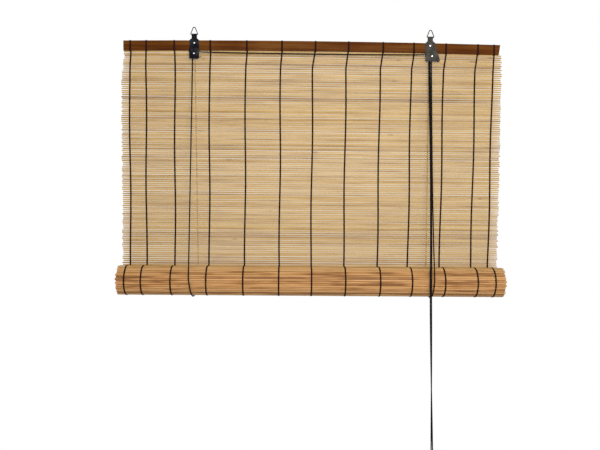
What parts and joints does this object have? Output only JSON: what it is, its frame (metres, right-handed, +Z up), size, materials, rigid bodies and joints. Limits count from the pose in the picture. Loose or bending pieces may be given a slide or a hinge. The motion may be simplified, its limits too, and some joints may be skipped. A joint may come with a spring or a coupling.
{
  "type": "bamboo roll-up blind",
  "caption": "Roll-up window blind of split-bamboo reeds under a stained head rail, hung by two wire rings and held half raised by lifting cords with a cord lock.",
  "frame": {"origin": "midway between the two hanging rings, at the inside of their crowns", "axes": "+X along the rail to the viewer's right, +Y towards the window or wall, +Z up"},
  "size_m": [1, 0.1051, 1.2266],
  "materials": {
    "bamboo": "natural split bamboo, satin, with darker streaks and nodes",
    "stained_bamboo": "dark brown stained bamboo, satin",
    "string": "dark brown cotton string",
    "cord": "dark brown braided cord",
    "dark_metal": "dark gunmetal, semi-gloss",
    "steel": "plain steel",
    "sheave": "dark moulded plastic"
  },
  "bodies": {
    "headrail": {"head_rail": "stained_bamboo", "hung_mat": "bamboo", "hung_strings": "string", "left_bracket": "dark_metal", "left_cover": "dark_metal", "lock_plate": "dark_metal", "lock_cover": "dark_metal", "axle_rivets": "steel", "bracket_screws": "steel", "guide_pin": "steel", "cam_pin": "steel", "left_front_cord": "cord", "right_front_cord": "cord", "left_back_cord": "cord", "right_back_cord": "cord", "cross_cord": "cord", "pull_upper_a": "cord", "pull_upper_b": "cord"},
    "lift_slings": {"left_sling": "cord", "right_sling": "cord", "pull_lower_a": "cord", "pull_lower_b": "cord"},
    "mat_roll": {"rolled_mat": "bamboo", "rolled_strings": "string", "bottom_slat": "stained_bamboo"},
    "pull_end": {"pull_hank": "cord", "hank_tie": "cord", "pull_knot": "cord"},
    "left_hook": {"left_ring": "dark_metal"},
    "right_hook": {"right_ring": "dark_metal"},
    "left_wheel": {"left_sheave": "sheave"},
    "lift_wheel": {"lift_sheave": "sheave"},
    "cam": {"lock_cam": "steel"}
  },
  "joints": [
    {"name": "roll_lift", "type": "slide", "parent": "headrail", "child": "lift_slings", "axis": [0, 0, 1], "range_m": [0, 0.4913], "deforming": ["hung_mat", "hung_strings", "left_front_cord", "right_front_cord", "left_back_cord", "right_back_cord", "pull_upper_a", "pull_upper_b"]},
    {"name": "roll_turn", "type": "hinge", "parent": "lift_slings", "child": "mat_roll", "pos_m": [0, -0.03282, -0.6574], "axis": [1, 0, 0], "range_deg": [-720, 0]},
    {"name": "pull_drop", "type": "slide", "parent": "lift_slings", "child": "pull_end", "axis": [0, 0, -1], "range_m": [0, 1.4739], "deforming": ["pull_lower_a", "pull_lower_b"]},
    {"name": "left_sheave_turn", "type": "hinge", "parent": "headrail", "child": "left_wheel", "pos_m": [-0.309, 0, -0.067], "axis": [0, 1, 0], "continuous": true},
    {"name": "lift_sheave_turn", "type": "hinge", "parent": "headrail", "child": "lift_wheel", "pos_m": [0.313, 0, -0.067], "axis": [0, 1, 0], "continuous": true},
    {"name": "left_ring_swing", "type": "hinge", "parent": "headrail", "child": "left_hook", "pos_m": [-0.309, 0, -0.0175], "axis": [1, 0, 0], "range_deg": [-95, 110]},
    {"name": "right_ring_swing", "type": "hinge", "parent": "headrail", "child": "right_hook", "pos_m": [0.309, 0, -0.0175], "axis": [1, 0, 0], "range_deg": [-95, 110]},
    {"name": "lock_cam_turn", "type": "hinge", "parent": "headrail", "child": "cam", "pos_m": [0.3012, 0, -0.0755], "axis": [0, 1, 0], "range_deg": [0, 40]}
  ],
  "couplings": [
    {"joint": "roll_turn", "follows": "roll_lift", "rad_per_m": -25.575},
    {"joint": "pull_drop", "follows": "roll_lift", "ratio": 3},
    {"joint": "left_sheave_turn", "follows": "roll_lift", "rad_per_m": 487.81},
    {"joint": "lift_sheave_turn", "follows": "roll_lift", "rad_per_m": -487.81}
  ]
}
